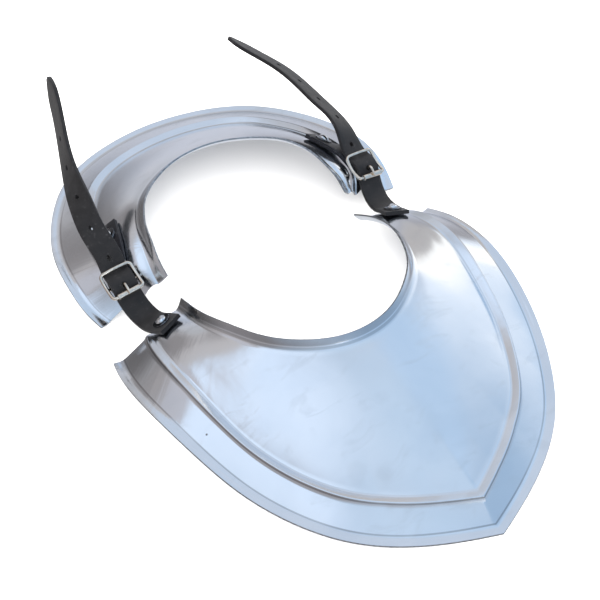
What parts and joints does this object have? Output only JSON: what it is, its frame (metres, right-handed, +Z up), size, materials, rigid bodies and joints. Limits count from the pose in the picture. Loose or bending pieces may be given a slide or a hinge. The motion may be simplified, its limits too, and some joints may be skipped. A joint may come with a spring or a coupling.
{
  "type": "steel gorget",
  "caption": "Armour collar of two polished steel plates, a pointed bib and a horseshoe back, joined over the shoulders by buckled leather straps.",
  "frame": {"origin": "centre of the overall box in plan, at the height of the rims that it lies on", "axes": "+Z up as it lies, -Y towards the point of the front plate, +X to the right as seen from the front"},
  "size_m": [0.277, 0.4482, 0.0979],
  "materials": {
    "polished_steel": "mirror polish over light hammer waves",
    "rivet_steel": "bright, rubbed",
    "buckle_nickel": "satin nickel plate",
    "black_leather": "smooth, half matt, scuffed edges"
  },
  "bodies": {
    "root": {"back_plate": "polished_steel", "back_rivet_left": "rivet_steel", "back_rivet_right": "rivet_steel", "back_washer_left": "rivet_steel", "back_washer_right": "rivet_steel", "buckle_frame_left": "buckle_nickel", "buckle_frame_right": "buckle_nickel", "chape_left": "black_leather", "chape_right": "black_leather", "front_plate": "polished_steel", "front_rivet_left": "rivet_steel", "front_rivet_right": "rivet_steel", "front_washer_left": "rivet_steel", "front_washer_right": "rivet_steel", "roller_left": "buckle_nickel", "roller_right": "buckle_nickel", "strap_left": "black_leather", "strap_right": "black_leather", "tongue_left": "buckle_nickel", "tongue_right": "buckle_nickel"}
  },
  "joints": []
}
